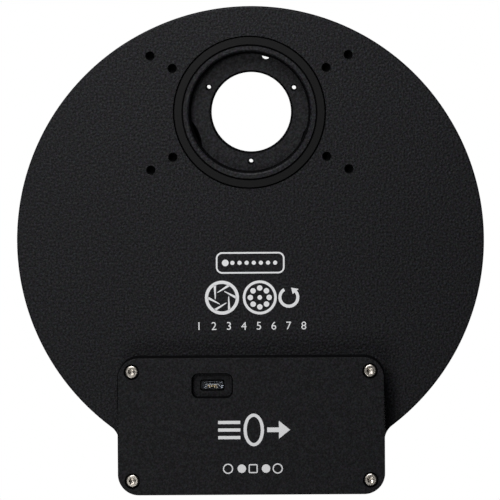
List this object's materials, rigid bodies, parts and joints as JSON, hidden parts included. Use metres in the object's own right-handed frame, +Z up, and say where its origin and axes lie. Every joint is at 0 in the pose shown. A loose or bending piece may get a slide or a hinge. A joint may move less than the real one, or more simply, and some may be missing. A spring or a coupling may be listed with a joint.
{
  "type": "optical filter wheel",
  "caption": "Motor-driven round filter wheel: slim black disc housing with a threaded light port on each side, an inner carousel and a raised electronics box on its foot.",
  "frame": {"origin": "on the optical axis, at the front face of the housing and of the front port ring", "axes": "+X to the right seen from the front, -Y out of the front face along the optical axis, +Z up, away from the foot"},
  "size_m": [0.1604, 0.032, 0.1668],
  "materials": {
    "blasted_black": "bead-blasted black anodised aluminium, fine satin grain",
    "cover_black": "bead-blasted black anodised aluminium, finer grain",
    "turned_black": "turned black anodised aluminium, smooth satin",
    "stainless": "polished stainless steel",
    "black_oxide_steel": "black oxide steel",
    "ground_steel": "ground bearing steel",
    "zinc_steel": "zinc-plated steel",
    "bare_aluminium": "bare machined aluminium",
    "acetal": "natural white acetal",
    "gear_brass": "machined brass",
    "magnet_grey": "sintered ferrite magnet",
    "coil_copper": "enamelled copper windings",
    "board_laminate": "green solder-masked glass laminate",
    "black_plastic": "moulded black plastic",
    "crystal_case": "plated steel can",
    "ceramic_tan": "ceramic chip body",
    "connector_white": "moulded off-white nylon",
    "lead_grey": "grey flat lead"
  },
  "bodies": {
    "housing": {"front_housing": "blasted_black", "rear_cover": "blasted_black", "electronics_cover": "cover_black", "front_port_ring": "turned_black", "rear_port_ring": "turned_black", "cover_screws": "stainless", "rear_cover_screws": "black_oxide_steel", "hub_axle": "ground_steel", "bearing_inner_rings": "ground_steel", "bearing_spacer": "bare_aluminium", "hub_washer": "stainless", "hub_screw": "stainless", "idler_shaft": "ground_steel", "idler_clip": "ground_steel", "motor_can": "zinc_steel", "motor_flange": "zinc_steel", "motor_stator": "coil_copper", "motor_plate": "bare_aluminium", "motor_plate_screws": "zinc_steel", "motor_screws": "zinc_steel", "motor_terminal": "black_plastic", "circuit_board": "board_laminate", "board_screws": "zinc_steel", "usb_shell": "stainless", "usb_tongue": "black_plastic", "usb_contacts": "gear_brass", "controller_chip": "black_plastic", "driver_chip": "black_plastic", "clock_crystal": "crystal_case", "board_capacitors": "ceramic_tan", "power_capacitor": "bare_aluminium", "motor_header": "connector_white", "index_sensor": "black_plastic", "motor_lead": "lead_grey"},
    "carousel": {"filter_carousel": "blasted_black", "bearing_outer_rings": "ground_steel", "bearing_balls": "ground_steel"},
    "idler": {"idler_gear": "acetal"},
    "motor_rotor_set": {"motor_shaft": "ground_steel", "motor_pinion": "gear_brass", "motor_rotor": "magnet_grey"}
  },
  "joints": [
    {"name": "carousel_spin", "type": "hinge", "parent": "housing", "child": "carousel", "pos_m": [0, 0.0092, -0.044], "axis": [0, -1, 0], "continuous": true},
    {"name": "idler_spin", "type": "hinge", "parent": "housing", "child": "idler", "pos_m": [0.014, 0.0054, -0.11707], "axis": [0, -1, 0], "continuous": true},
    {"name": "motor_spin", "type": "hinge", "parent": "housing", "child": "motor_rotor_set", "pos_m": [0.0265, 0, -0.11349], "axis": [0, -1, 0], "continuous": true}
  ],
  "couplings": [
    {"joint": "idler_spin", "follows": "carousel_spin", "ratio": -10.625},
    {"joint": "motor_spin", "follows": "carousel_spin", "ratio": 35.417}
  ]
}
